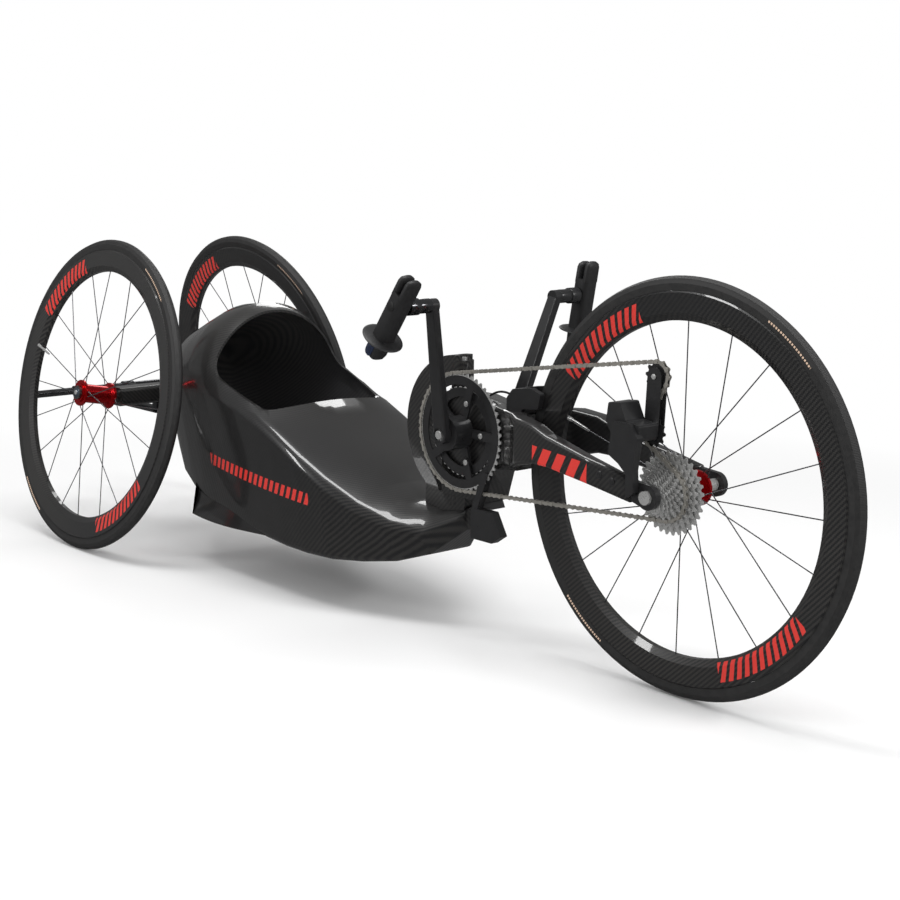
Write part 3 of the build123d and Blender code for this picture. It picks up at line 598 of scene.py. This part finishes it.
# Each stop is its X, its Z, its pitch radius and the way the chain turns round it.
STOPS = [
    (crank_hub.x, crank_hub.z, pitch_radius(BIG_RING), -1),
    (front_hub.x - 24 * MM, 518 * MM, pitch_radius(PULLEY_TEETH), -1),
    (front_hub.x - 28 * MM, 430 * MM, pitch_radius(PULLEY_TEETH), 1),
    (front_hub.x, front_hub.z, pitch_radius(CHAIN_COG_TEETH), -1),
]


def chain_route():
    """Stretches of the route, each a length and a function from distance to place and heading."""
    headings = []
    for index, a in enumerate(STOPS):
        b = STOPS[(index + 1) % len(STOPS)]
        span = (b[3] * b[2] - a[3] * a[2]) / hypot(b[0] - a[0], b[1] - a[1])
        headings.append(atan2(b[1] - a[1], b[0] - a[0]) - asin(span))
    stretches = []
    for index, (x, z, radius, turn) in enumerate(STOPS):
        arrive = headings[index - 1]
        wrap = ((headings[index] - arrive) * turn) % (2 * pi)

        def arc(s, x=x, z=z, radius=radius, turn=turn, arrive=arrive):
            heading = arrive + turn * s / radius
            return x + turn * radius * sin(heading), z - turn * radius * cos(heading), heading

        stretches.append((wrap * radius, arc))
        leave = headings[index]
        start = arc(wrap * radius)
        following = STOPS[(index + 1) % len(STOPS)]
        end_x = following[0] + following[3] * following[2] * sin(leave)
        end_z = following[1] - following[3] * following[2] * cos(leave)

        def run(s, start=start, leave=leave):
            return start[0] + s * cos(leave), start[1] + s * sin(leave), leave

        stretches.append((hypot(end_x - start[0], end_z - start[1]), run))
    return stretches


def place_on(stretches, s):
    for size, at in stretches:
        if s <= size:
            return at(s)
        s -= size
    return stretches[0][1](0)


route = chain_route()
route_length = sum(size for size, at in route)
link_count = 2 * round(route_length / PITCH / 2)
link = route_length / link_count
shape = begin()
for index in range(link_count):
    x, z, heading = place_on(route, index * link)
    x2, z2, _ = place_on(route, ((index + 1) % link_count) * link)
    middle = Vector(((x + x2) / 2, 0, (z + z2) / 2))
    lean = atan2(z2 - z, x2 - x)
    half = INNER_HALF if index % 2 else OUTER_HALF
    for side in (-1, 1):
        made = bmesh.ops.create_circle(shape, segments=16, radius=PLATE_END, cap_ends=True)
        for vert in made["verts"]:
            if abs(vert.co.x) < 0.1 * MM:
                vert.co.y *= PLATE_WAIST
            else:
                vert.co.x += link / 2 if vert.co.x > 0 else -link / 2
        face = made["verts"][0].link_faces[0]
        pushed = bmesh.ops.extrude_face_region(shape, geom=[face], use_keep_orig=True)
        moved = [g for g in pushed["geom"] if isinstance(g, bmesh.types.BMVert)]
        bmesh.ops.translate(shape, verts=moved, vec=(0, 0, PLATE))
        place = lay_flat(CHAIN_Y + side * half, 0, middle) @ Matrix.Rotation(lean, 4, "Z")
        bmesh.ops.transform(shape, verts=made["verts"] + moved, matrix=place)
    disc(shape, ROLLER_RADIUS, PIN_LENGTH, lay_flat(CHAIN_Y, 0, Vector((x, 0, z))), segments=10)
finish_piece(shape, "chain_links", "fork_unit", nickel, replaces=["chain"])
print("chain links", link_count, "route", round(route_length, 4))

# %% [markdown]
# The tub is one moulding with a clear gloss outside and a plain satin hollow. A merged copy
# of its solid shades smoothly, and its inner faces get the second finish.

# %% Tub
TAIL_AXIS, NOSE_AXIS = Vector((-0.70, 0, 0.30)), Vector((0.26, 0, 0.19))


def merged_copy(node, name, body, materials, smooth):
    shape = begin()
    shape.from_mesh(nodes[node].data)
    bmesh.ops.remove_doubles(shape, verts=shape.verts, dist=0.00002)
    mesh = bpy.data.meshes.new(name)
    shape.to_mesh(mesh)
    shape.free()
    mesh.materials.clear()
    for material in materials:
        mesh.materials.append(material)
    mesh.shade_smooth()
    mesh.set_sharp_from_angle(angle=radians(smooth))
    piece = bpy.data.objects.new(name, mesh)
    bpy.context.scene.collection.objects.link(piece)
    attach(piece, body)
    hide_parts(node)
    return piece


# The inner faces take the satin carbon, whose raised colours are painted light for the dim hollow.
tub = merged_copy("tub_shell", "tub_moulding", "tub", (tub_carbon, satin_carbon), 32)
for face in tub.data.polygons:
    share = (face.center.x - TAIL_AXIS.x) / (NOSE_AXIS.x - TAIL_AXIS.x)
    spine = TAIL_AXIS.lerp(NOSE_AXIS, share)
    outward = Vector((0, face.center.y, face.center.z - spine.z))
    face.material_index = 1 if face.normal.dot(outward) < 0 else 0
merged_copy("fork", "fork_moulding", "fork_unit", (blade_carbon,), 28)
print("tub inner faces", sum(face.material_index for face in tub.data.polygons))

# %% [markdown]
# The tub stands on a shallow base pan that flares out at its rear corners. Each ring of the
# pan follows the hull's side and bottom just inside its wall, so the hollow stays open.

# %% Base pan
PAN_BACK, PAN_LENGTH = -0.49, 0.32
PAN_LOW, PAN_HIGH = 0.094, 0.185
PAN_OUT = 27 * MM
PAN_WALL = 3 * MM
PAN_POINTS, PAN_RINGS = 13, 25
PAN_BOTTOM = (0.152, -0.0612, 0.0172)
PAN_SKIN = (0.105, 0.0747, -0.034)
PAN_SLOPE = (0.16, -0.06, 0)
FLARE_DOWN, FLARE_BACK = 2.4, 1.1


def curve(terms, t):
    """A quadratic in t from its three terms."""
    return terms[0] + terms[1] * t + terms[2] * t * t


def pan_ring(t):
    """Right half of a ring at share t of the length, outer skin first, as (y, z) pairs."""
    bottom = curve(PAN_BOTTOM, t)
    skin = curve(PAN_SKIN, t)
    slope = curve(PAN_SLOPE, t)
    low = PAN_LOW + (bottom - PAN_LOW) * t ** 3
    high = PAN_HIGH - (PAN_HIGH - bottom - 2 * PAN_WALL) * t ** 2
    outer = []
    for i in range(PAN_POINTS):
        v = 1 - i / (PAN_POINTS - 1)
        z = low + (high - low) * v
        flare = PAN_OUT * (1 - v) ** FLARE_DOWN * (1 - t) ** FLARE_BACK
        sunk = PAN_WALL * v ** 3
        outer.append((skin + slope * (z - bottom) + flare - sunk, z))
    inner = [(skin - 2 * PAN_WALL, bottom + PAN_WALL / 2), (outer[0][0] - PAN_WALL, high)]
    return outer, inner


shape = begin()
rings = []
for index in range(PAN_RINGS):
    t = index / (PAN_RINGS - 1)
    outer, inner = pan_ring(t)
    left = [(-y, z) for y, z in outer]
    ring = outer + left[::-1] + [(-y, z) for y, z in inner[::-1]] + inner
    x = PAN_BACK + PAN_LENGTH * t
    rings.append([shape.verts.new((x, y, z)) for y, z in ring])
for back, front in zip(rings, rings[1:]):
    for i in range(len(back)):
        j = (i + 1) % len(back)
        shape.faces.new((back[i], back[j], front[j], front[i]))
shape.faces.new(rings[0])
shape.faces.new(rings[-1])
bmesh.ops.triangulate(shape, faces=[face for face in shape.faces if len(face.verts) > 4])
finish_piece(shape, "base_pan", "tub", gloss_carbon, smooth=34)

# %% [markdown]
# The grips are upright handles that turn on the arm's pin. The near one leans forward as it
# was left. Each is a rounded bar that forks at its top, with a palm rest near the bottom.


# %% Grips
GRIP_HALF = 17 * MM
GRIP_LOW = 106.6 * MM
GRIP_FORK = 30 * MM
GRIP_TOP = 64 * MM
PALM_LIFT = 40 * MM
PALM_SIZE = (36.5 * MM, 36.5 * MM, 4.5 * MM)
BAR_POWER, PRONG_POWER = 0.62, 0.7
PRONG_HALF = 7.5 * MM
PRONG_OUT = 9.2 * MM
SOCKET_RADIUS, SOCKET_DEPTH = 8.5 * MM, 1.2 * MM
BAR_RINGS = [
    (-GRIP_LOW, 0.55), (-GRIP_LOW + 4 * MM, 0.82), (-GRIP_LOW + 12 * MM, 0.95),
    (-GRIP_LOW + 38 * MM, 1.0), (-20 * MM, 1.0), (GRIP_FORK - 8 * MM, 1.0), (GRIP_FORK, 0.97),
]
PRONG_RINGS = [
    (GRIP_FORK - 4 * MM, 1.0), (GRIP_TOP - 10 * MM, 0.98), (GRIP_TOP - 4 * MM, 0.85), (GRIP_TOP, 0.45),
]
BUTTON_RINGS = [(0, 0.9), (1.2 * MM, 1.0), (2.2 * MM, 0.85)]


def squared(shape, half_x, half_y, power, places):
    """A closed bar through superellipse rings, each at a height and a scale."""
    loops = []
    for height, scale in places:
        made = bmesh.ops.create_circle(shape, segments=32, radius=1, cap_ends=False)
        for vert in made["verts"]:
            angle = atan2(vert.co.y, vert.co.x)
            c, s = cos(angle), sin(angle)
            vert.co.x = abs(c) ** power * half_x * scale * (1 if c > 0 else -1)
            vert.co.y = abs(s) ** power * half_y * scale * (1 if s > 0 else -1)
            vert.co.z = height
        loops.append(made["verts"])
    for low, high in zip(loops, loops[1:]):
        edges = {e for v in low + high for e in v.link_edges
                 if abs(e.verts[0].co.z - e.verts[1].co.z) < 1e-7}
        bmesh.ops.bridge_loops(shape, edges=list(edges))
    for loop in (loops[0], loops[-1]):
        shape.faces.new(loop)
    return [v for loop in loops for v in loop]


def grip_frame(side, lean):
    pivot = Vector(joints[f"grip_{side}_spin"]["pos_m"])
    return Matrix.Translation(pivot) @ Matrix.Rotation(lean, 4, "Y")


def make_grip(side, lean, out):
    body = f"grip_{side}_body"
    turn = grip_frame(side, lean)
    shape = begin()
    verts = squared(shape, GRIP_HALF, GRIP_HALF, BAR_POWER, BAR_RINGS)
    for x in (-1, 1):
        prong = squared(shape, PRONG_HALF, GRIP_HALF - 1 * MM, PRONG_POWER, PRONG_RINGS)
        bmesh.ops.translate(shape, verts=prong, vec=(x * PRONG_OUT, 0, (x - 1) * 2 * MM))
        verts += prong
    bmesh.ops.transform(shape, verts=verts, matrix=turn)
    finish_piece(shape, f"grip_{side}_bar", body, black_plastic, replaces=[f"grip_{side}"])
    shape = begin()
    made = bmesh.ops.create_uvsphere(shape, u_segments=40, v_segments=12, radius=1)
    bmesh.ops.scale(shape, verts=made["verts"], vec=PALM_SIZE)
    bmesh.ops.translate(shape, verts=made["verts"], vec=(0, 0, -GRIP_LOW + PALM_LIFT))
    bmesh.ops.transform(shape, verts=made["verts"], matrix=turn)
    finish_piece(shape, f"grip_{side}_palm_rest", body, black_plastic)
    shape = begin()
    face = Matrix.Translation((0, out * (GRIP_HALF + 0.1 * MM), 4 * MM))
    face = face @ Matrix.Rotation(radians(90), 4, "X")
    disc(shape, SOCKET_RADIUS, SOCKET_DEPTH, turn @ face, bevel=0.4 * MM)
    finish_piece(shape, f"grip_{side}_socket", body, hose_black)
    shape = begin()
    panel = squared(shape, 9 * MM, 15 * MM, PRONG_POWER, BUTTON_RINGS)
    seat = turn @ Matrix.Translation((-2 * MM, out * 15.4 * MM, -GRIP_LOW + 19 * MM))
    seat = seat @ Matrix.Rotation(radians(-90 * out), 4, "X")
    bmesh.ops.transform(shape, verts=panel, matrix=seat)
    finish_piece(shape, f"grip_{side}_button", body, navy_plastic)


make_grip("right", radians(36), -1)
make_grip("left", radians(10.3), 1)

# %% Pedal stubs between the arms and the grips
# Each step is its distance out, its radius and its depth, in millimetres.
STUB_STEPS = ((168, 12.5, 30), (190, 14.5, 22))
for side, out in (("right", -1), ("left", 1)):
    pivot = Vector(joints[f"grip_{side}_spin"]["pos_m"])
    shape = begin()
    along = Matrix.Rotation(radians(90), 4, "X")
    for y, radius, depth in STUB_STEPS:
        place = Matrix.Translation((pivot.x, out * y * MM, pivot.z)) @ along
        disc(shape, radius * MM, depth * MM, place, bevel=1.2 * MM)
    finish_piece(shape, f"pedal_stub_{side}", "crank_set", dark_tube if out < 0 else black_alloy)

# %% Derailleur pulleys
shape = begin()
PULLEYS = STOPS[1:3]
for x, z, radius, _ in PULLEYS:
    centre = Vector((x, 0, z))
    toothed(shape, PULLEY_TEETH, tip=radius + 1.6 * MM, root=radius - 3 * MM, inner=5 * MM,
            thickness=2.0 * MM, matrix=lay_flat(CHAIN_Y + 1 * MM, 0, centre))
    place = lay_flat(CHAIN_Y, 0, centre)
    disc(shape, radius=radius * 0.55, thickness=3.4 * MM, matrix=place, bevel=0.4 * MM)
finish_piece(shape, "derailleur_pulleys", "fork_unit", black_plastic)
shape = begin()
for x, z, _, _ in PULLEYS:
    place = lay_flat(CHAIN_Y - 9.5 * MM, 0, Vector((x, 0, z)))
    disc(shape, radius=4.2 * MM, thickness=2 * MM, matrix=place, bevel=0.4 * MM)
finish_piece(shape, "pulley_bolts", "fork_unit", silver)

# %% [markdown]
# Small fasteners are what the eye takes for scale: the crank bolts, the five ring bolts, two
# bolts at the end of each blade, the caps of the rear hubs and the valves on the rims.

# %% Bolts, caps and valves
CRANK_BOLT_OUT = 92 * MM
RING_BOLTS = 5
RING_BOLT_REACH = 55 * MM
# Each blade bolt is its X and Z. Each step of a valve is its radius, inner end and outer end.
BLADE_BOLTS = ((655, 358), (682, 351))
BLADE_BOLT_OUT = 91.4 * MM
VALVE_STEPS = ((2.6, 222, 267), (3.4, 258, 267), (1.8, 216, 224))
VALVE_TURN = radians(-72)


def bolt(shape, place, radius, height):
    turn = Matrix.Rotation(radians(90), 4, "X")
    disc(shape, radius, height, Matrix.Translation(place) @ turn, segments=20, bevel=radius * 0.12)
    disc(shape, radius * 0.5, height * 1.3, Matrix.Translation(place) @ turn, segments=6)


shape = begin()
for out in (-1, 1):
    place = Vector((crank_hub.x, out * CRANK_BOLT_OUT, crank_hub.z))
    bolt(shape, place, radius=8 * MM, height=3 * MM)
for index in range(RING_BOLTS):
    angle = 2 * pi * index / RING_BOLTS
    ahead, up = RING_BOLT_REACH * cos(angle), RING_BOLT_REACH * sin(angle)
    place = Vector((crank_hub.x + ahead, CHAIN_Y - 1.6 * MM, crank_hub.z + up))
    bolt(shape, place, radius=5 * MM, height=2 * MM)
finish_piece(shape, "crank_bolts", "crank_set", silver)

shape = begin()
for out in (-1, 1):
    for x, z in BLADE_BOLTS:
        place = Vector((x * MM, out * BLADE_BOLT_OUT, z * MM))
        bolt(shape, place, radius=6.5 * MM, height=2.4 * MM)
finish_piece(shape, "blade_bolts", "fork_unit", black_alloy)


def end_cap(shape, spin, outward, reach, radius, depth, bevel):
    axis = Vector(joints[spin]["axis"]) * outward
    place = Vector(joints[spin]["pos_m"]) + axis * reach
    turn = axis.to_track_quat("Z", "Y").to_matrix().to_4x4()
    disc(shape, radius, depth, Matrix.Translation(place) @ turn, bevel=bevel)


for (wheel, body, spin), outward in zip(WHEELS[1:], (-1, 1)):
    shape = begin()
    end_cap(shape, spin, outward, reach=42 * MM, radius=11 * MM, depth=7 * MM, bevel=1.5 * MM)
    finish_piece(shape, f"{body}_cap", body, steel_blue)
    shape = begin()
    end_cap(shape, spin, outward, reach=46.4 * MM, radius=5 * MM, depth=2.4 * MM, bevel=0.5 * MM)
    finish_piece(shape, f"{body}_cap_bolt", body, silver)

for wheel, body, spin in WHEELS:
    hub = Vector(joints[spin]["pos_m"])
    shape = begin()
    for radius, low, high in VALVE_STEPS:
        place = Matrix.Translation(hub) @ Matrix.Rotation(VALVE_TURN, 4, "Y")
        place = place @ Matrix.Translation((0, 0, (low + high) / 2 * MM))
        disc(shape, radius * MM, (high - low) * MM, place, segments=12)
    finish_piece(shape, f"{wheel}_valve", body, silver)
